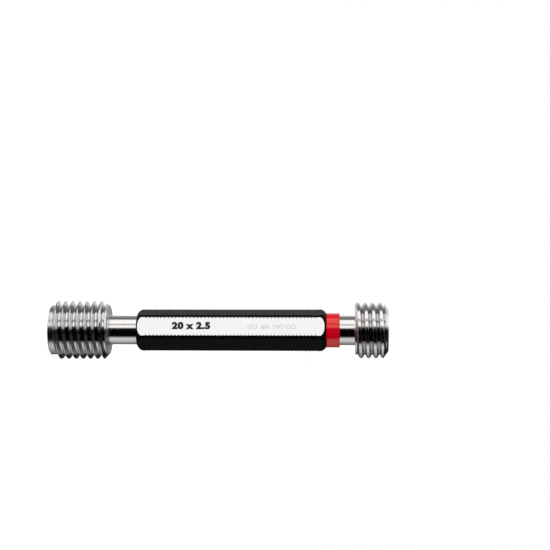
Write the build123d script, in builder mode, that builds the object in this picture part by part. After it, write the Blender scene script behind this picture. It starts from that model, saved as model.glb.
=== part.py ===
from build123d import *
from math import ceil, radians, tan
import os

# Double-ended thread plug gauge, millimetres.
# The axis is Z. The GO end face is at height 0 and the NO-GO end face is at the top.

# Thread form, shared by both members: right hand, 60 degrees between the flanks
pitch = 2.5
flank_angle = 30.0

# GO member: full thread form, long thread
go_crest_diameter = 20.0
go_crest_flat = pitch / 8
go_root_flat = pitch / 6
go_thread_length = 20.0
go_start_height = 1.6
go_start_angle = 90.0
go_end_chamfer = 0.3
go_neck_length = 9.9

# NO-GO member: truncated crests, short thread, tapered free end
no_go_crest_diameter = 18.8
no_go_crest_flat = pitch * 3 / 8
no_go_root_flat = pitch / 16
no_go_thread_length = 11.2
no_go_start_height = 0.5
no_go_start_angle = 150.0
no_go_end_taper = 1.6
no_go_end_inset = 2.2
no_go_neck_length = 9.9

# Neck, shank and centre hole, the same on both members
neck_diameter = 10.0
seat_width = 1.0
shank_chamfer = 0.4
centre_bore = 1.2
centre_flare = 0.6
centre_depth = 2.6
centre_angle = 30.0

# Handle: hexagon bar with turned corners and rounded ends, bored from both ends
handle_length = 64.7
across_flats = 12.9
corner_diameter = 14.35
handle_face_margin = 0.75
handle_end_length = 1.8
handle_end_bulge = 0.24
handle_web = 8.7
shank_clearance = 0.02
socket_relief = 2.0

# Marking ring on the NO-GO neck
ring_wall = 0.8
ring_length = 4.6
ring_clearance = 0.05
ring_edge = 0.2

# Heights of the faces, from the bottom up
go_shoulder = go_thread_length
handle_bottom = go_shoulder + go_neck_length
handle_top = handle_bottom + handle_length
no_go_shoulder = handle_top + no_go_neck_length
overall_length = no_go_shoulder + no_go_thread_length

# Radii of the threads: the flanks run from the crest flat down to the root flat
flank_slope = tan(radians(flank_angle))
go_crest_radius = go_crest_diameter / 2
go_thread_depth = (pitch - go_crest_flat - go_root_flat) / 2 / flank_slope
go_root_radius = go_crest_radius - go_thread_depth
no_go_crest_radius = no_go_crest_diameter / 2
no_go_thread_depth = (pitch - no_go_crest_flat - no_go_root_flat) / 2 / flank_slope
no_go_root_radius = no_go_crest_radius - no_go_thread_depth

# The ridge of a thread is cut oversize by this much, and the blank trims it
ridge_margin = pitch / 32
run_out = pitch

# Each shank has a step to the neck, which seats on the end of the handle
neck_radius = neck_diameter / 2
shank_radius = neck_radius - seat_width
socket_radius = shank_radius + shank_clearance
socket_depth = (handle_length - handle_web) / 2
shank_length = socket_depth - socket_relief


def thread_ridge(crest_radius, root_radius, crest_flat, start, end):
    """Right-hand ridge that starts blunt and runs in whole turns past the end height.

    Its foot is sunk in the core, and its top stands above the crest, where the blank cuts it flat.
    """
    foot_radius = root_radius - ridge_margin
    top_radius = crest_radius + ridge_margin
    half_foot = crest_flat / 2 + (crest_radius - foot_radius) * flank_slope
    half_top = crest_flat / 2 - ridge_margin * flank_slope
    turns = [
        Helix(pitch, pitch, root_radius, center=(0, 0, start + turn * pitch), mode=Mode.PRIVATE)
        for turn in range(ceil((end - start) / pitch))
    ]
    with BuildPart() as ridge:
        with BuildSketch(Plane.XZ):
            with BuildLine():
                Polyline(
                    (foot_radius, start - half_foot),
                    (top_radius, start - half_top),
                    (top_radius, start + half_top),
                    (foot_radius, start + half_foot),
                    close=True,
                )
            make_face()
        sweep(path=turns, is_frenet=True)
    return ridge.part


def turned(*corners, mode=Mode.ADD):
    """Turn a closed half section, given as (radius, height) corners, about the axis."""
    with BuildSketch(Plane.XZ) as section:
        with BuildLine():
            Polyline(*corners, close=True)
        make_face()
    revolve(section.sketch, axis=Axis.Z, mode=mode)


def neck_and_shank(buried, seat, outward):
    """Neck up to its seat on the handle, and the shank beyond; outward is 1 for up, -1 for down."""
    shank_end = seat + outward * shank_length
    turned(
        (0, buried),
        (neck_radius, buried),
        (neck_radius, seat),
        (shank_radius, seat),
        (shank_radius, shank_end - outward * shank_chamfer),
        (shank_radius - shank_chamfer, shank_end),
        (0, shank_end),
    )


def centre_hole(face, inward):
    """Centre hole in an end face: a 60 degree mouth and a short bore; inward is 1 for up, -1 for down."""
    bore_radius = centre_bore / 2
    cone_depth = centre_flare / tan(radians(centre_angle))
    turned(
        (0, face),
        (bore_radius + centre_flare, face),
        (bore_radius, face + inward * cone_depth),
        (bore_radius, face + inward * centre_depth),
        (0, face + inward * centre_depth),
        mode=Mode.SUBTRACT,
    )


# GO member: the first turn starts blunt, behind a plain pilot, and the last runs out in a chamfer
with BuildPart() as go_member:
    with BuildSketch(Plane.XY):
        Circle(go_root_radius)
    extrude(amount=go_shoulder + run_out)
    add(
        thread_ridge(go_crest_radius, go_root_radius, go_crest_flat, go_start_height, go_shoulder + run_out),
        rotation=(0, 0, go_start_angle),
    )
    turned(
        (0, 0),
        (go_root_radius - go_end_chamfer, 0),
        (go_root_radius, go_end_chamfer),
        (go_crest_radius, go_end_chamfer),
        (go_crest_radius, go_shoulder - go_thread_depth),
        (go_root_radius, go_shoulder),
        (0, go_shoulder),
        mode=Mode.INTERSECT,
    )
    neck_and_shank(go_end_chamfer + centre_depth, handle_bottom, 1)
    centre_hole(0, 1)

go_member.part.label = "go_member"

# NO-GO member: the thread starts blunt at the flat shoulder and ends on the tapered free end
no_go_start = no_go_shoulder + no_go_start_height
with BuildPart() as no_go_member:
    with BuildSketch(Plane.XY.offset(no_go_shoulder - run_out)):
        Circle(no_go_root_radius)
    extrude(amount=no_go_thread_length + 2 * run_out)
    add(
        thread_ridge(
            no_go_crest_radius, no_go_root_radius, no_go_crest_flat, no_go_start, overall_length + run_out
        ),
        rotation=(0, 0, no_go_start_angle),
    )
    turned(
        (0, no_go_shoulder),
        (no_go_crest_radius, no_go_shoulder),
        (no_go_crest_radius, overall_length - no_go_end_taper),
        (no_go_crest_radius - no_go_end_inset, overall_length),
        (0, overall_length),
        mode=Mode.INTERSECT,
    )
    neck_and_shank(overall_length - no_go_end_taper - centre_depth, handle_top, -1)
    centre_hole(overall_length, -1)

no_go_member.part.label = "no_go_member"

# Handle: its flats face -Y, +Y and 60 degrees to each side of them
corner_radius = corner_diameter / 2
handle_face_radius = neck_radius + handle_face_margin
with BuildPart() as handle:
    with BuildSketch(Plane.XY.offset(handle_bottom)):
        RegularPolygon(across_flats / 2, 6, major_radius=False)
    extrude(amount=handle_length)
    with BuildSketch(Plane.XZ):
        with BuildLine():
            lower_end = SagittaArc(
                (handle_face_radius, handle_bottom),
                (corner_radius, handle_bottom + handle_end_length),
                -handle_end_bulge,
            )
            upper_end = SagittaArc(
                (corner_radius, handle_top - handle_end_length),
                (handle_face_radius, handle_top),
                -handle_end_bulge,
            )
            Line(lower_end @ 1, upper_end @ 0)
            Polyline(upper_end @ 1, (0, handle_top), (0, handle_bottom), lower_end @ 0)
        make_face()
    revolve(axis=Axis.Z, mode=Mode.INTERSECT)
    with BuildSketch(Plane.XY.offset(handle_bottom), Plane.XY.offset(handle_top - socket_depth)):
        Circle(socket_radius)
    extrude(amount=socket_depth, mode=Mode.SUBTRACT)

handle.part.label = "handle"

# Marking ring: it sits on the NO-GO neck against the end of the handle
ring_bore_radius = neck_radius + ring_clearance
with BuildPart() as no_go_ring:
    with BuildSketch(Plane.XY.offset(handle_top)):
        Circle(ring_bore_radius + ring_wall)
        Circle(ring_bore_radius, mode=Mode.SUBTRACT)
    extrude(amount=ring_length)
    outer_edges = no_go_ring.edges().filter_by(GeomType.CIRCLE).group_by(SortBy.RADIUS)[-1]
    chamfer(outer_edges, ring_edge)

no_go_ring.part.label = "no_go_ring"

os.makedirs("parts", exist_ok=True)
export_step(go_member.part, "parts/go_member.step")
export_step(no_go_member.part, "parts/no_go_member.step")
export_step(handle.part, "parts/handle.step")
export_step(no_go_ring.part, "parts/no_go_ring.step")
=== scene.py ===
import bmesh
import bpy
import numpy as np
from math import acos, atan2, ceil, cos, pi, radians, sin, sqrt, tan
from mathutils import Matrix, Vector


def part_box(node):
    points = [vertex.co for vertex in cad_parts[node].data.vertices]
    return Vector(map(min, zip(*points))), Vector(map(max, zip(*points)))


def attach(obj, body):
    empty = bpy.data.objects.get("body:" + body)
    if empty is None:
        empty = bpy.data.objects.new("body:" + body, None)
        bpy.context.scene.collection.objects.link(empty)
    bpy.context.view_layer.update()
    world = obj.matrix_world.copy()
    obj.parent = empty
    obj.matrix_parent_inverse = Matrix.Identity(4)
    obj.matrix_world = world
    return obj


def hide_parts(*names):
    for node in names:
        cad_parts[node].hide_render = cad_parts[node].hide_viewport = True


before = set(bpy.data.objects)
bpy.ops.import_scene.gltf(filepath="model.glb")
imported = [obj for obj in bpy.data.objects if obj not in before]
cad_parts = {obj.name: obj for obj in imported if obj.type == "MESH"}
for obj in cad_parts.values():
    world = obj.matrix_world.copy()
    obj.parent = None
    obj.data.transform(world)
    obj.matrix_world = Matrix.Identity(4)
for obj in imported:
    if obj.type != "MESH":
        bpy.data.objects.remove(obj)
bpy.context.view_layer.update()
mm = 0.001          # lengths below are in millimetres, meshes are in metres


def nodeBox(node):
    low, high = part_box(node)
    return low / mm, high / mm


goHigh = nodeBox("go_member")[1]
noGoLow, noGoHigh = nodeBox("no_go_member")
handleLow, handleHigh = nodeBox("handle")
ringLow, ringHigh = nodeBox("no_go_ring")
handleBottom, handleTop = handleLow.z, handleHigh.z
totalHeight = noGoHigh.z

# The camera stands level beside the middle of the gauge.
# It is rolled, so that the axis lies across the picture.
view = {
    "aim": 13.5,               # degrees, from -Y towards +X
    "distance": 480.6,
    "middle": 77.05,           # height on the axis that falls on the picture's middle column
    "alongTilt": 2.77,         # degrees by which the NO-GO end comes nearer
    "axisBelow": 18.9,         # the axis runs this far below the middle of the picture
    "focal": 1405.0,           # pixels of the 550 pixel picture
    "picture": 550.0,
    "sensor": 36.0,
    "clipStart": 0.01,         # metres, as the next one
    "clipEnd": 20.0,
}


def pictureUp():
    aim = radians(view["aim"])
    return Vector((-cos(aim), -sin(aim), 0))


def makeCamera():
    aim = radians(view["aim"])
    tilt = radians(view["alongTilt"])
    outward = Vector((sin(aim), -cos(aim), 0))
    upward = pictureUp()
    along = Vector((0, 0, 1))
    backward = outward * cos(tilt) + along * sin(tilt)
    sideways = upward.cross(backward)
    place = backward * view["distance"] / cos(tilt) + upward * view["axisBelow"] + along * view["middle"]
    data = bpy.data.cameras.new("photoCamera")
    data.sensor_width = view["sensor"]
    data.lens = view["focal"] * view["sensor"] / view["picture"]
    data.clip_start = view["clipStart"]
    data.clip_end = view["clipEnd"]
    camera = bpy.data.objects.new("photoCamera", data)
    bpy.context.scene.collection.objects.link(camera)
    turn = Matrix((sideways, upward, backward)).transposed()
    camera.matrix_world = Matrix.Translation(place * mm) @ turn.to_4x4()
    bpy.context.scene.camera = camera


makeCamera()
print("camera set")


# Node helpers

def newMaterial(name):
    material = bpy.data.materials.new(name)
    material.use_nodes = True
    tree = material.node_tree
    return material, tree, tree.nodes["Principled BSDF"]


def addNode(tree, kind, inputs=(), **settings):
    node = tree.nodes.new(kind)
    for name, value in settings.items():
        setattr(node, name, value)
    for name, value in dict(inputs).items():
        if isinstance(value, bpy.types.NodeSocket):
            tree.links.new(value, node.inputs[name])
        else:
            node.inputs[name].default_value = value
    return node


def calculate(tree, operation, first, second=0.0, third=0.0):
    return addNode(tree, "ShaderNodeMath", {0: first, 1: second, 2: third}, operation=operation).outputs[0]


def spread(tree, value, low, high, fromLow=0.0, fromHigh=1.0, curve="LINEAR"):
    inputs = {0: value, 1: fromLow, 2: fromHigh, 3: low, 4: high}
    return addNode(tree, "ShaderNodeMapRange", inputs, interpolation_type=curve).outputs[0]


def colourRamp(tree, value, stops):
    node = addNode(tree, "ShaderNodeValToRGB", {0: value})
    ramp = node.color_ramp
    while len(ramp.elements) < len(stops):
        ramp.elements.new(0.5)
    for element, (place, colour) in zip(ramp.elements, stops):
        element.position = place
        element.color = (*colour, 1)
    return node.outputs[0]


def greyRamp(tree, value, stops):
    return colourRamp(tree, value, [(place, (level, level, level)) for place, level in stops])


def roundCoordinates(tree, fine, slow):
    # lines round the axis: they change fast with the radius and the height, and slowly with x and y
    place = addNode(tree, "ShaderNodeTexCoord").outputs["Object"]
    split = addNode(tree, "ShaderNodeSeparateXYZ", {0: place}).outputs
    flat = addNode(tree, "ShaderNodeCombineXYZ", {0: split[0], 1: split[1]}).outputs[0]
    radius = addNode(tree, "ShaderNodeVectorMath", {0: flat}, operation="LENGTH").outputs[1]
    slowX = calculate(tree, "MULTIPLY", split[0], slow)
    across = calculate(tree, "MULTIPLY_ADD", radius, fine, slowX)
    slowY = calculate(tree, "MULTIPLY", split[1], slow)
    upward = calculate(tree, "MULTIPLY", split[2], fine)
    return addNode(tree, "ShaderNodeCombineXYZ", {0: across, 1: slowY, 2: upward}).outputs[0]


def noise(tree, vector, scale, detail=2.0, rough=0.5):
    inputs = {"Vector": vector, "Scale": scale, "Detail": detail, "Roughness": rough}
    return addNode(tree, "ShaderNodeTexNoise", inputs).outputs["Fac"]


def bumpInto(tree, shader, height, strength, distance):
    node = addNode(tree, "ShaderNodeBump", {"Height": height, "Strength": strength, "Distance": distance})
    tree.links.new(node.outputs[0], shader.inputs["Normal"])


def blendTone(tree, fine, coarse, fineShare):
    rest = calculate(tree, "MULTIPLY", coarse, 1 - fineShare)
    return calculate(tree, "MULTIPLY_ADD", fine, fineShare, rest)


roughSpan = (0.3, 0.7)         # tones at which the roughness is lowest and highest


def toneInto(tree, shader, tone, finish, colourSpan):
    # the tone runs the colour from dark to bright, and the roughness with it
    ends = zip(colourSpan, (finish["dark"], finish["bright"]))
    tree.links.new(colourRamp(tree, tone, list(ends)), shader.inputs["Base Color"])
    rough = spread(tree, tone, finish["roughLow"], finish["roughHigh"], *roughSpan)
    tree.links.new(rough, shader.inputs["Roughness"])


# Steel finishes: lines run round the axis, finer and smoother where the gauge is ground

steelPattern = {
    "lineDrift": 260.0,        # how fast a line changes on its way round
    "lineDetail": 3.0,
    "lineRough": 0.6,
    "lineShare": 0.6,
    "cloudScale": 320.0,
    "cloudDetail": 3.0,
    "colourSpan": (0.3, 0.65),
    "bump": 0.35,
}

steelFinishes = {
    "groundSteel": {           # necks, shanks and the crests of the NO-GO thread
        "dark": (0.515, 0.502, 0.494), "bright": (0.585, 0.571, 0.562),
        "roughLow": 0.12, "roughHigh": 0.19, "lineScale": 9000.0, "lineDepth": 0.0000015,
    },
    "crestSteel": {            # crests and pilot of the GO thread, duller with use
        "dark": (0.42, 0.410, 0.402), "bright": (0.50, 0.488, 0.480),
        "roughLow": 0.18, "roughHigh": 0.27, "lineScale": 7000.0, "lineDepth": 0.0000015,
    },
    "flankSteel": {            # flanks and roots
        "dark": (0.525, 0.518, 0.513), "bright": (0.575, 0.567, 0.561),
        "roughLow": 0.08, "roughHigh": 0.13, "lineScale": 6000.0, "lineDepth": 0.0000003,
    },
    "faceSteel": {             # end faces and shoulders
        "dark": (0.48, 0.470, 0.463), "bright": (0.56, 0.548, 0.540),
        "roughLow": 0.38, "roughHigh": 0.48, "lineScale": 5000.0, "lineDepth": 0.000003,
    },
}


def makeSteel(name):
    finish, pattern = steelFinishes[name], steelPattern
    material, tree, shader = newMaterial(name)
    along = roundCoordinates(tree, finish["lineScale"], pattern["lineDrift"])
    lines = noise(tree, along, 1.0, pattern["lineDetail"], pattern["lineRough"])
    place = addNode(tree, "ShaderNodeTexCoord").outputs["Object"]
    cloud = noise(tree, place, pattern["cloudScale"], pattern["cloudDetail"])
    tone = blendTone(tree, lines, cloud, pattern["lineShare"])
    toneInto(tree, shader, tone, finish, pattern["colourSpan"])
    shader.inputs["Metallic"].default_value = 1.0
    bumpInto(tree, shader, lines, pattern["bump"], finish["lineDepth"])
    return material


flatFinish = {
    "dark": (0.52, 0.52, 0.52),
    "bright": (0.575, 0.575, 0.572),
    "roughLow": 0.12,
    "roughHigh": 0.20,
    "grainAcross": 7000.0,     # grinding grain runs along the bar
    "grainAlong": 110.0,
    "grainDetail": 3.0,
    "grainRough": 0.6,
    "grainShare": 0.7,
    "grainDepth": 0.000002,
    "cloudScale": 240.0,
    "colourSpan": (0.3, 0.65),
    "bump": 0.25,
}


def makeFlatSteel():
    finish = flatFinish
    material, tree, shader = newMaterial("groundFlat")
    place = addNode(tree, "ShaderNodeTexCoord").outputs["Object"]
    scale = (finish["grainAcross"], finish["grainAcross"], finish["grainAlong"])
    stretched = addNode(tree, "ShaderNodeMapping", {"Vector": place, "Scale": scale}).outputs[0]
    grain = noise(tree, stretched, 1.0, finish["grainDetail"], finish["grainRough"])
    cloud = noise(tree, place, finish["cloudScale"])
    tone = blendTone(tree, grain, cloud, finish["grainShare"])
    toneInto(tree, shader, tone, finish, finish["colourSpan"])
    shader.inputs["Metallic"].default_value = 1.0
    bumpInto(tree, shader, grain, finish["bump"], finish["grainDepth"])
    return material


# Finishes that aren't bare metal: black oxide, red plastic, and the two tones of the marking

coatingPattern = {
    "cloudDetail": 4.0,
    "cloudRough": 0.6,
    "speckShare": 0.4,
    "colourSpan": (0.32, 0.68),
    "bump": 0.2,
}

coatings = {
    "blackenedSteel": {
        "dark": (0.0013, 0.0009, 0.0010), "bright": (0.0038, 0.0028, 0.0030),
        "roughLow": 0.22, "roughHigh": 0.36, "specular": 0.033, "ior": 1.5, "gloss": (1.0, 1.0, 1.0),
        "cloudScale": 420.0, "speckScale": 5200.0, "speckDepth": 0.000006,
    },
    "redPlastic": {
        "dark": (0.49, 0.0, 0.010), "bright": (0.59, 0.0, 0.014),
        "roughLow": 0.05, "roughHigh": 0.09, "specular": 0.5, "ior": 1.55, "gloss": (1.0, 0.92, 0.58),
        "cloudScale": 300.0, "speckScale": 2600.0, "speckDepth": 0.0000006,
    },
    "blackInk": {
        "dark": (0.006, 0.006, 0.006), "bright": (0.014, 0.0135, 0.013),
        "roughLow": 0.45, "roughHigh": 0.6, "specular": 0.2, "ior": 1.5, "gloss": (1.0, 1.0, 1.0),
        "cloudScale": 700.0, "speckScale": 9000.0, "speckDepth": 0.000003,
    },
    "etchedGrey": {
        "dark": (0.47, 0.47, 0.465), "bright": (0.57, 0.57, 0.56),
        "roughLow": 0.5, "roughHigh": 0.65, "specular": 0.3, "ior": 1.5, "gloss": (1.0, 1.0, 1.0),
        "cloudScale": 900.0, "speckScale": 9000.0, "speckDepth": 0.000003,
    },
}


def makeCoating(name):
    finish, pattern = coatings[name], coatingPattern
    material, tree, shader = newMaterial(name)
    place = addNode(tree, "ShaderNodeTexCoord").outputs["Object"]
    cloud = noise(tree, place, finish["cloudScale"], pattern["cloudDetail"], pattern["cloudRough"])
    speck = noise(tree, place, finish["speckScale"])
    tone = blendTone(tree, speck, cloud, pattern["speckShare"])
    toneInto(tree, shader, tone, finish, pattern["colourSpan"])
    shader.inputs["Specular IOR Level"].default_value = finish["specular"]
    shader.inputs["IOR"].default_value = finish["ior"]
    shader.inputs["Specular Tint"].default_value = (*finish["gloss"], 1)
    bumpInto(tree, shader, speck, pattern["bump"], finish["speckDepth"])
    return material


materials = {name: makeSteel(name) for name in steelFinishes}
materials["groundFlat"] = makeFlatSteel()
for coating in coatings:
    materials[coating] = makeCoating(coating)
print("finishes made")


# Mesh helpers

weldDigits = 5                 # points that agree to this many decimals of a millimetre are one


def rounded(corners, steps=3):
    # corners are (x, y, radius), and a corner with a radius becomes an arc
    points = []
    for index, (x, y, radius) in enumerate(corners):
        if radius == 0:
            points.append((x, y))
            continue
        here = Vector((x, y))
        back = (Vector(corners[index - 1][:2]) - here).normalized()
        ahead = (Vector(corners[index + 1][:2]) - here).normalized()
        half = back.angle(ahead) / 2
        centre = here + (back + ahead).normalized() * radius / sin(half)
        first = here + back * radius / tan(half) - centre
        last = here + ahead * radius / tan(half) - centre
        sweep = atan2(first.x * last.y - first.y * last.x, first.dot(last))
        for step in range(steps + 1):
            turn = Matrix.Rotation(sweep * step / steps, 2)
            points.append(tuple(centre + turn @ first))
    return points


def supported(points, hold, longest):
    # points close to the ends of each long straight keep its shading flat
    result = [points[0]]
    for start, end in zip(points, points[1:]):
        a, b = Vector(start), Vector(end)
        length = (b - a).length
        if length > 4 * hold:
            inner = max(1, ceil((length - 2 * hold) / longest))
            for step in range(inner + 1):
                share = (hold + (length - 2 * hold) * step / inner) / length
                result.append(tuple(a.lerp(b, share)))
        result.append(end)
    return result


def finishPiece(name, mesh, names, finishOf, sharpAngle):
    # finishOf picks a material's name from the middle of a face, in millimetres, and its normal
    for material in names:
        mesh.materials.append(materials[material])
    if finishOf:
        for face in mesh.polygons:
            face.material_index = names.index(finishOf(face.center / mm, face.normal))
    mesh.shade_smooth()
    mesh.set_sharp_from_angle(angle=radians(sharpAngle))
    piece = bpy.data.objects.new(name, mesh)
    bpy.context.scene.collection.objects.link(piece)
    print(name, len(mesh.vertices), "points", len(mesh.polygons), "faces")
    return piece


def buildPiece(name, columns, names, finishOf=None, sharpAngle=32.0):
    # columns of (x, y, z) points go round the axis; points that fall together are one vertex
    ids, points, faces, grid = {}, [], [], []
    for column in columns:
        row = []
        for point in column:
            key = tuple(round(value, weldDigits) + 0.0 for value in point)
            if key not in ids:
                ids[key] = len(points)
                points.append([value * mm for value in point])
            row.append(ids[key])
        grid.append(row)
    for left, right in zip(grid, grid[1:]):
        for j in range(len(left) - 1):
            corners = (left[j], right[j], right[j + 1], left[j + 1])
            face = [corner for k, corner in enumerate(corners) if corner != corners[k - 1]]
            if len(set(face)) > 2:
                faces.append(face)
    mesh = bpy.data.meshes.new(name)
    mesh.from_pydata(points, [], faces)
    return finishPiece(name, mesh, names, finishOf, sharpAngle)


def aroundAxis(angle, radius, height):
    return (radius * cos(angle), radius * sin(angle), height)


def placePiece(piece, node, instead=True):
    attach(piece, "root")
    if instead:
        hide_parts(node)


# Both plugs: neck, shank and centre hole

plugEnds = {
    "neckRadius": 5.0,
    "neckRound": 0.25,         # small radius at the foot of the neck
    "shankRadius": 4.0,
    "shankChamfer": 0.4,
    "centreMouth": 1.2,
    "centreBore": 0.6,
    "centreDepth": 2.6,
    "centreAngle": 30.0,       # between the cone and the axis
    "hold": 0.04,
    "longest": 50.0,           # longer than any straight here, so that none is divided
}


def centreHole(face, inward):
    # from the axis out to the mouth
    ends = plugEnds
    cone = (ends["centreMouth"] - ends["centreBore"]) / tan(radians(ends["centreAngle"]))
    return [
        (0, face + inward * ends["centreDepth"], 0),
        (ends["centreBore"], face + inward * ends["centreDepth"], 0),
        (ends["centreBore"], face + inward * cone, 0),
        (ends["centreMouth"], face, 0),
    ]


def neckAndShank(shoulder, seat, tip):
    # from the foot of the neck to the middle of the shank's end
    ends = plugEnds
    away = 1 if tip > seat else -1
    return [
        (ends["neckRadius"], shoulder, ends["neckRound"]),
        (ends["neckRadius"], seat, 0),
        (ends["shankRadius"], seat, 0),
        (ends["shankRadius"], tip - away * ends["shankChamfer"], 0),
        (ends["shankRadius"] - ends["shankChamfer"], tip, 0),
        (0, tip, 0),
    ]


# Threads

threadForm = {
    "pitch": 2.5,
    "flankAngle": 30.0,
    "columns": 240,
    "crestRound": 0.07,
    "rootRound": 0.10,
    "hold": 0.03,
    "longest": 0.17,
    "rampAngle": 4.0,          # degrees over which the blunt start rises
    "rampColumns": 4,
    "slack": 1e-9,             # a point this little over the blank counts as on it
}

goPlug = {
    "crestRadius": goHigh.x,
    "crestFlat": threadForm["pitch"] / 8,
    "rootFlat": threadForm["pitch"] / 6,
    "shoulder": 20.0,
    "start": 1.6,
    "startAngle": 90.0,
    "crestFinish": "crestSteel",
    "endChamfer": 0.3,
    "pilotReach": 0.6,         # the pilot's finish ends this far past the start of the thread
}

noGoPlug = {
    "crestRadius": 9.4,
    "crestFlat": threadForm["pitch"] * 3 / 8,
    "rootFlat": threadForm["pitch"] / 16,
    "shoulder": 104.5,
    "start": 105.0,
    "startAngle": 150.0,
    "crestFinish": "groundSteel",
    "endTaper": 1.6,
    "endInset": 2.2,
}


def threadDepth(plug):
    form = threadForm
    return (form["pitch"] - plug["crestFlat"] - plug["rootFlat"]) / 2 / tan(radians(form["flankAngle"]))


def ridgeSection(plug):
    # one pitch: distance from the middle of the ridge, and height above the root
    form = threadForm
    depth = threadDepth(plug)
    crest = plug["crestFlat"] / 2
    foot = crest + depth * tan(radians(form["flankAngle"]))
    half = form["pitch"] / 2
    corners = [
        (-half, 0, 0), (-foot, 0, form["rootRound"]), (-crest, depth, form["crestRound"]),
        (crest, depth, form["crestRound"]), (foot, 0, form["rootRound"]), (half, 0, 0),
    ]
    return supported(rounded(corners), form["hold"], form["longest"])


def threadedColumns(plug, lowRim, highRim, blank, lowSection, highSection):
    # blank is (heights, radii): the turned outline that trims the thread between the two rims
    # the two sections are (radius, height) points below the low rim and above the high one
    form = threadForm
    pitch = form["pitch"]
    section = ridgeSection(plug)
    offsets = [point[0] for point in section]
    heights = [point[1] for point in section]
    depth = threadDepth(plug)
    root = plug["crestRadius"] - depth
    ramp = form["rampAngle"] / 360
    turns = range(-2, ceil((highRim - plug["start"]) / pitch) + 2)

    def rise(turnsDone):
        share = min(max(turnsDone / ramp, 0.0), 1.0)
        return share * share * (3 - 2 * share)

    def limit(z):
        return float(np.interp(z, blank[0], blank[1]))

    def radiusAt(share, z):
        done = (z - plug["start"]) / pitch - share
        turn = round(done)
        height = float(np.interp((done - turn) * pitch, offsets, heights))
        return min(root + height * rise(share + turn), limit(z))

    shares = [step / form["columns"] for step in range(form["columns"] + 1)]
    shares += [ramp * (step + 0.5) / form["rampColumns"] for step in range(form["rampColumns"])]
    columns = []
    for share in sorted(set(shares)):
        angle = radians(plug["startAngle"]) + 2 * pi * (share % 1.0)
        rows = []
        for turn in turns:
            for offset, height in section[:-1]:
                z = plug["start"] + pitch * (share + turn) + offset
                rows.append([z, root + height * rise(share + turn)])
        # a row beside the crossing of thread and blank moves onto the crossing
        over = [row[1] > limit(row[0]) + form["slack"] for row in rows]
        moved = [list(row) for row in rows]
        for k in range(len(rows) - 1):
            if over[k] != over[k + 1]:
                a, b = rows[k], rows[k + 1]
                gapA, gapB = a[1] - limit(a[0]), b[1] - limit(b[0])
                mix = gapA / (gapA - gapB)
                clipped = k if over[k] else k + 1
                moved[clipped] = [a[0] + (b[0] - a[0]) * mix, a[1] + (b[1] - a[1]) * mix]
        points = [aroundAxis(angle, radius, z) for radius, z in lowSection]
        lowRing = aroundAxis(angle, radiusAt(share, lowRim), lowRim)
        highRing = aroundAxis(angle, radiusAt(share, highRim), highRim)
        for z, radius in moved:
            if z <= lowRim:
                points.append(lowRing)
            elif z >= highRim:
                points.append(highRing)
            else:
                points.append(aroundAxis(angle, min(radius, limit(z)), z))
        points += [aroundAxis(angle, radius, z) for radius, z in highSection]
        columns.append(points)
    return columns


steelZones = {
    "crestBand": 0.03,         # this far below the crest is still crest
    "neckBand": 0.5,           # this far outside the neck is still neck
    "shoulderBand": 1.2,       # this far above the NO-GO shoulder is still shoulder, where it faces down
    "faceSlope": 0.95,         # upward part of the normal on an end face
    "crestSlope": 0.3,         # most that it may be on a crest
}


def steelFor(plug, lowRim, highRim):
    zones = steelZones
    crest = plug["crestRadius"] - zones["crestBand"]
    neck = plugEnds["neckRadius"] + zones["neckBand"]
    shoulder = plug["shoulder"] + zones["shoulderBand"] if plug["shoulder"] < plug["start"] else 0.0

    def finishOf(middle, normal):
        radius = sqrt(middle.x ** 2 + middle.y ** 2)
        onShoulder = normal.z < -zones["crestSlope"] and middle.z < shoulder
        if abs(normal.z) > zones["faceSlope"] or onShoulder:
            return "faceSteel"
        if radius > crest and abs(normal.z) < zones["crestSlope"]:
            return plug["crestFinish"]
        if radius < neck:
            return "groundSteel"
        return "flankSteel" if lowRim < middle.z < highRim else plug["crestFinish"]

    return finishOf


steelNames = list(steelFinishes)


def makeGoPlug():
    plug, ends = goPlug, plugEnds
    depth = threadDepth(plug)
    root = plug["crestRadius"] - depth
    low = centreHole(0, 1) + [(root - plug["endChamfer"], 0, 0), (root, plug["endChamfer"], 0)]
    high = [(root, plug["shoulder"], 0)] + neckAndShank(plug["shoulder"], handleBottom, goHigh.z)
    lowSection = supported(rounded(low), ends["hold"], ends["longest"])[:-1]
    highSection = supported(rounded(high), ends["hold"], ends["longest"])[1:]
    blankHeights = [0, plug["shoulder"] - depth, plug["shoulder"]]
    blank = (blankHeights, [plug["crestRadius"], plug["crestRadius"], root])
    columns = threadedColumns(plug, plug["endChamfer"], plug["shoulder"], blank, lowSection, highSection)
    finishOf = steelFor(plug, plug["start"] + plug["pilotReach"], plug["shoulder"])
    piece = buildPiece("goPlugGround", columns, steelNames, finishOf)
    placePiece(piece, "go_member")


def makeNoGoPlug():
    plug, ends = noGoPlug, plugEnds
    crest = plug["crestRadius"]
    top = totalHeight
    root = crest - threadDepth(plug)
    low = neckAndShank(plug["shoulder"], handleTop, noGoLow.z)[::-1] + [(root, plug["shoulder"], 0)]
    high = [(crest - plug["endInset"], top, 0)] + centreHole(top, -1)[::-1]
    lowSection = supported(rounded(low), ends["hold"], ends["longest"])[:-1]
    highSection = supported(rounded(high), ends["hold"], ends["longest"])[1:]
    blankHeights = [plug["shoulder"], top - plug["endTaper"], top]
    blank = (blankHeights, [crest, crest, crest - plug["endInset"]])
    columns = threadedColumns(plug, plug["shoulder"], top, blank, lowSection, highSection)
    finishOf = steelFor(plug, plug["shoulder"], top)
    piece = buildPiece("noGoPlugGround", columns, steelNames, finishOf)
    placePiece(piece, "no_go_member")


makeGoPlug()
makeNoGoPlug()
print("plugs made")


# Handle

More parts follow.
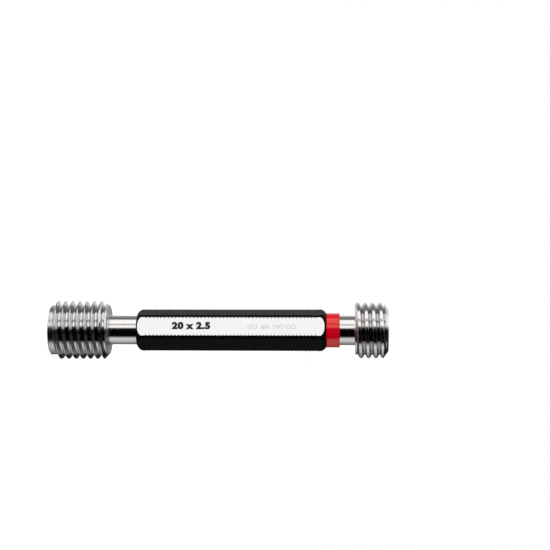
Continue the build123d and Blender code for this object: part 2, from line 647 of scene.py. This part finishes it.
hexHandle = {
    "flatDistance": 6.45,      # from the axis to a flat
    "cornerRadius": 7.175,
    "faceRadius": 5.75,
    "endLength": 1.8,
    "endBulge": 0.24,          # the rounded ends stand out from a straight taper by this much
    "groovePitch": 1.25,       # grooves turned in the corners
    "grooveWidth": 0.6,
    "grooveDepth": 0.15,
    "grooveMargin": 1.0,       # plain corner before the first groove
    "grooveShape": (           # (share of the width from the middle, share of the depth)
        (-0.5, 0), (-0.42, 0.12), (-0.12, 0.94), (0, 1), (0.12, 0.94), (0.42, 0.12), (0.5, 0),
    ),
    "socketRadius": 4.02,
    "socketDepth": 28.0,
    "faceRows": 5,             # rows of a rounded end that lie inside the flats
    "arcRows": 12,             # rows in which the flats end
    "flatColumns": (-1.0, -0.94, -0.5, 0.0, 0.5, 0.94, 1.0),
    "cornerColumns": 10,
    "brightFlats": (0, 2, 4),  # counted round from -Y
    "flatTolerance": 0.01,     # a face at most this far under the flat, and facing this straight out,
    "facing": 0.9999,          # is part of it
    "sharpAngle": 20.0,
}


def grooveRows(low, high):
    # (height, corner radius) rows between two heights, with evenly spaced grooves
    bar = hexHandle
    corner, width, depth = bar["cornerRadius"], bar["grooveWidth"], bar["grooveDepth"]
    count = int((high - low - 2 * bar["grooveMargin"]) / bar["groovePitch"])
    first = (low + high - (count - 1) * bar["groovePitch"]) / 2
    rows = []
    for index in range(count):
        middle = first + index * bar["groovePitch"]
        for offset, drop in bar["grooveShape"]:
            rows.append((middle + offset * width, corner - drop * depth))
    return rows


def endArc():
    # (distance from the end face, radius) rows, spaced so that the flats end in smooth arcs
    bar = hexHandle
    corner, face, flat = bar["cornerRadius"], bar["faceRadius"], bar["flatDistance"]
    rise, length, bulge = corner - face, bar["endLength"], bar["endBulge"]
    chord = sqrt(rise ** 2 + length ** 2)
    radius = (chord ** 2 / 4 + bulge ** 2) / 2 / bulge
    inset = (radius - bulge) / chord
    middleRadius = face + rise / 2 - length * inset
    middleLength = length / 2 + rise * inset
    edge = acos(flat / corner)
    inner, outer = bar["faceRows"], bar["arcRows"]
    radii = [face + (flat - face) * step / inner for step in range(inner)]
    radii += [flat / cos(edge * step / outer) for step in range(outer + 1)]
    return [(middleLength - sqrt(radius ** 2 - (r - middleRadius) ** 2), r) for r in radii]


def handleOutline():
    bar = hexHandle
    bottom, top = handleBottom, handleTop
    arc = endArc()
    socket, deep = bar["socketRadius"], bar["socketDepth"]
    rows = [(bottom + deep, 0), (bottom + deep, socket), (bottom, socket)]
    rows += [(bottom + length, radius) for length, radius in arc]
    rows += grooveRows(bottom + bar["endLength"], top - bar["endLength"])
    rows += [(top - length, radius) for length, radius in reversed(arc)]
    rows += [(top, socket), (top - deep, socket), (top - deep, 0)]
    return rows


def makeHandle():
    bar = hexHandle
    rows = handleOutline()
    flat = bar["flatDistance"]
    # half the angle that a flat spans at each row
    edges = [acos(flat / radius) if radius > flat else 0.0 for z, radius in rows]
    columns = []
    for side in range(6):
        middle = radians(-90 + 60 * side)
        for share in bar["flatColumns"][:-1]:
            columns.append([
                aroundAxis(middle + edge * share, min(radius, flat / cos(edge * share)), z)
                for (z, radius), edge in zip(rows, edges)
            ])
        for step in range(bar["cornerColumns"]):
            share = step / bar["cornerColumns"]
            columns.append([
                aroundAxis(middle + edge + (radians(60) - 2 * edge) * share, radius, z)
                for (z, radius), edge in zip(rows, edges)
            ])
    columns.append(columns[0])
    brightWays = [Vector(aroundAxis(radians(-90 + 60 * side), 1, 0)) for side in bar["brightFlats"]]

    def finishOf(middle, normal):
        for way in brightWays:
            if normal.dot(way) > bar["facing"] and middle.dot(way) > flat - bar["flatTolerance"]:
                return "groundFlat"
        return "blackenedSteel"

    names = ["blackenedSteel", "groundFlat"]
    piece = buildPiece("handleBar", columns, names, finishOf, bar["sharpAngle"])
    placePiece(piece, "handle")


makeHandle()
print("handle made")


# Marking on the bright flat: the thread size in black and a fainter line of plain gauge terms

markings = {
    "sizeMarking": {
        "text": "20 x 2.5", "ink": "blackInk",
        "low": 42.3, "high": 55.4,     # from and to these heights on the axis
        "tall": 2.6, "shift": 0.25,    # height of the letters, and how far they lie above the middle
        "weight": 0.072, "spacing": 1.12,
    },
    "limitMarking": {
        "text": "GO  6H  NO GO", "ink": "etchedGrey",
        "low": 68.0, "high": 84.4,
        "tall": 1.6, "shift": -0.1,
        "weight": 0.012, "spacing": 1.0,
    },
}

letterPlate = {
    "thickness": 0.02,         # the letters are thin plates, half sunk in the flat
    "curveSteps": 4,
    "weld": 0.001,             # points of a letter closer than this become one
    "sharpAngle": 30.0,
}


def makeMarking(name):
    # the text reads along +Z, with its top towards -X
    plan, plate = markings[name], letterPlate
    data = bpy.data.curves.new(name, "FONT")
    data.body = plan["text"]
    data.size = 1.0
    data.offset = plan["weight"]
    data.space_character = plan["spacing"]
    data.extrude = 0.5         # half the thickness, to each side
    data.resolution_u = plate["curveSteps"]
    letters = bpy.data.objects.new(name + "Text", data)
    bpy.context.scene.collection.objects.link(letters)
    bpy.context.view_layer.update()
    mesh = bpy.data.meshes.new_from_object(letters.evaluated_get(bpy.context.evaluated_depsgraph_get()))
    bpy.data.objects.remove(letters)
    spots = np.array([tuple(vertex.co) for vertex in mesh.vertices])
    low, high = spots.min(axis=0), spots.max(axis=0)
    middle = (low + high) / 2
    along = (plan["high"] - plan["low"]) / (high[0] - low[0])
    tall = plan["tall"] / (high[1] - low[1])
    for vertex in mesh.vertices:
        x, y, z = vertex.co
        place = Vector((
            -(y - middle[1]) * tall - plan["shift"],
            -hexHandle["flatDistance"] - z * plate["thickness"],
            (x - low[0]) * along + plan["low"],
        ))
        vertex.co = place * mm
    solid = bmesh.new()
    solid.from_mesh(mesh)
    bmesh.ops.remove_doubles(solid, verts=solid.verts, dist=plate["weld"] * mm)
    bmesh.ops.recalc_face_normals(solid, faces=solid.faces)
    solid.to_mesh(mesh)
    loose = sum(1 for edge in solid.edges if len(edge.link_faces) != 2)
    solid.free()
    mesh.name = name
    piece = finishPiece(name, mesh, [plan["ink"]], None, plate["sharpAngle"])
    print(name, "letter height", plan["tall"], "open edges", loose)
    placePiece(piece, "handle", False)


for marking in markings:
    makeMarking(marking)
print("marking made")


# Marking ring

markingRing = {
    "outer": ringHigh.x,
    "bore": 5.05,
    "edge": 0.2,               # chamfer, whose inner and outer corners are rounded
    "innerRound": 0.05,
    "outerRound": 0.12,
    "roundSteps": 4,
    "hold": 0.04,
    "longest": 50.0,           # as for the plugs
    "columns": 192,
}


def makeRing():
    ring = markingRing
    outer, bore, edge = ring["outer"], ring["bore"], ring["edge"]
    low, high = ringLow.z, ringHigh.z
    corners = [
        (bore, low, 0),
        (outer - edge, low, ring["innerRound"]),
        (outer, low + edge, ring["outerRound"]),
        (outer, high - edge, ring["outerRound"]),
        (outer - edge, high, ring["innerRound"]),
        (bore, high, 0),
    ]
    section = supported(rounded(corners, ring["roundSteps"]), ring["hold"], ring["longest"])
    section.append(section[0])
    columns = []
    for step in range(ring["columns"] + 1):
        angle = 2 * pi * (step % ring["columns"]) / ring["columns"]
        columns.append([aroundAxis(angle, radius, z) for radius, z in section])
    piece = buildPiece("noGoRing", columns, ["redPlastic"])
    placePiece(piece, "no_go_ring")


makeRing()
print("ring made")


# Studio: pale floor, soft lamps, and a light tent that only reflections see

studio = {
    "ambient": 0.42,           # level of the world for everything but the camera and reflections
    "brightest": 1.75,         # level of the tent where its ramps say 1
    "tent": (                  # (polar angle round the gauge in degrees, level)
        (0, 0.62), (12, 0.58), (24, 0.48), (33, 0.31), (45, 0.25), (60, 0.20), (70, 0.04),
        (98, 0.03), (104, 0.50), (122, 0.50), (127, 0.48), (143, 0.48), (150, 0.25), (160, 0.22),
        (172, 0.15), (187, 0.12), (198, 1.0), (230, 1.0), (234, 0.40), (242, 0.40), (246, 1.0),
        (262, 1.0), (267, 0.12), (272, 0.01), (277, 0.0), (335, 0.0), (344, 0.42), (352, 0.59),
        (360, 0.62),
    ),
    "poles": (                 # (upward part of the direction, level) near the two ends of the axis
        (-1.0, 0.08), (-0.36, 0.07), (-0.28, 0.02), (0.0, 0.01), (0.06, 0.30), (0.13, 0.85), (1.0, 0.85),
    ),
    "poleSpan": (0.55, 0.80),  # the ends take over between these steepnesses along the axis
    "lowSpan": (0.20, 0.42),   # low down, the tent darkens between these
    "lowSide": (-0.15, 0.05),  # upward part of the direction, from fully low to not low
    "lowDrop": 0.82,
}


def tentLevel(tree, direction):
    split = addNode(tree, "ShaderNodeSeparateXYZ", {0: direction}).outputs
    angle = calculate(tree, "ARCTAN2", split[1], split[0])
    turn = calculate(tree, "FRACT", calculate(tree, "DIVIDE", angle, 2 * pi))
    sides = greyRamp(tree, turn, [(place / 360, level) for place, level in studio["tent"]])
    inputs = {0: direction, 1: pictureUp()}
    upward = addNode(tree, "ShaderNodeVectorMath", inputs, operation="DOT_PRODUCT").outputs[1]
    half = calculate(tree, "MULTIPLY_ADD", upward, 0.5, 0.5)
    poles = greyRamp(tree, half, [((place + 1) / 2, level) for place, level in studio["poles"]])
    steep = calculate(tree, "ABSOLUTE", split[2])
    below = spread(tree, upward, 1.0, 0.0, *studio["lowSide"])
    lowEnds = calculate(tree, "MULTIPLY", below, spread(tree, steep, 0.0, 1.0, *studio["lowSpan"]))
    kept = calculate(tree, "MULTIPLY_ADD", lowEnds, -studio["lowDrop"], 1.0)
    sides = calculate(tree, "MULTIPLY", sides, kept)
    share = spread(tree, steep, 0.0, 1.0, *studio["poleSpan"], "SMOOTHSTEP")
    return addNode(tree, "ShaderNodeMixRGB", {0: share, 1: sides, 2: poles}).outputs[0]


def background(tree, colour, strength):
    return addNode(tree, "ShaderNodeBackground", {"Color": colour, "Strength": strength}).outputs[0]


def chooseShader(tree, choice, otherwise, chosen):
    return addNode(tree, "ShaderNodeMixShader", {0: choice, 1: otherwise, 2: chosen}).outputs[0]


def makeWorld():
    world = bpy.data.worlds.new("tent")
    world.use_nodes = True
    tree = world.node_tree
    tree.nodes.clear()
    direction = addNode(tree, "ShaderNodeTexCoord").outputs["Generated"]
    path = addNode(tree, "ShaderNodeLightPath").outputs
    white = (1, 1, 1, 1)
    soft = background(tree, white, studio["ambient"])
    bands = background(tree, tentLevel(tree, direction), studio["brightest"])
    lit = chooseShader(tree, path["Is Glossy Ray"], soft, bands)
    seen = chooseShader(tree, path["Is Camera Ray"], lit, background(tree, white, 1.0))
    addNode(tree, "ShaderNodeOutputWorld", {0: seen})
    bpy.context.scene.world = world


paleFloor = {
    "half": 3.0,               # metres
    "level": 0.9,
    "rough": 0.9,
    "glow": 0.66,              # lifts the floor to white for the camera alone, so its shadow still shows
}


def makeFloor():
    half, level = paleFloor["half"], paleFloor["level"]
    mesh = bpy.data.meshes.new("floor")
    corners = [(-half, -half, 0), (half, -half, 0), (half, half, 0), (-half, half, 0)]
    mesh.from_pydata(corners, [], [(0, 1, 2, 3)])
    material, tree, shader = newMaterial("paleFloor")
    shader.inputs["Base Color"].default_value = (level, level, level, 1)
    shader.inputs["Roughness"].default_value = paleFloor["rough"]
    shader.inputs["Specular IOR Level"].default_value = 0.0
    shader.inputs["Emission Color"].default_value = (1, 1, 1, 1)
    path = addNode(tree, "ShaderNodeLightPath").outputs
    glow = calculate(tree, "MULTIPLY", path["Is Camera Ray"], paleFloor["glow"])
    tree.links.new(glow, shader.inputs["Emission Strength"])
    mesh.materials.append(material)
    floor = bpy.data.objects.new("floor", mesh)
    bpy.context.scene.collection.objects.link(floor)
    floor.visible_glossy = False


lamps = {                      # places and sizes in metres, powers in watts
    "keyLamp": {"place": (-0.9, -0.7, 0.4), "size": 0.9, "power": 14.0},
    "fillLamp": {"place": (0.8, -0.8, 0.4), "size": 0.9, "power": 2.5},
    "topLamp": {"place": (0.1, 0.1, 1.4), "size": 1.0, "power": 2.0},
}


def makeLamp(name):
    plan = lamps[name]
    data = bpy.data.lights.new(name, "AREA")
    data.shape = "SQUARE"
    data.size = plan["size"]
    data.energy = plan["power"]
    lamp = bpy.data.objects.new(name, data)
    bpy.context.scene.collection.objects.link(lamp)
    lamp.location = plan["place"]
    target = Vector((0, 0, totalHeight * mm / 2))
    lamp.rotation_mode = "QUATERNION"
    lamp.rotation_quaternion = (target - Vector(plan["place"])).to_track_quat("-Z", "Y")
    lamp.visible_glossy = False


makeWorld()
makeFloor()
for lampName in lamps:
    makeLamp(lampName)
bpy.context.scene.view_settings.view_transform = "Standard"
print("studio made")
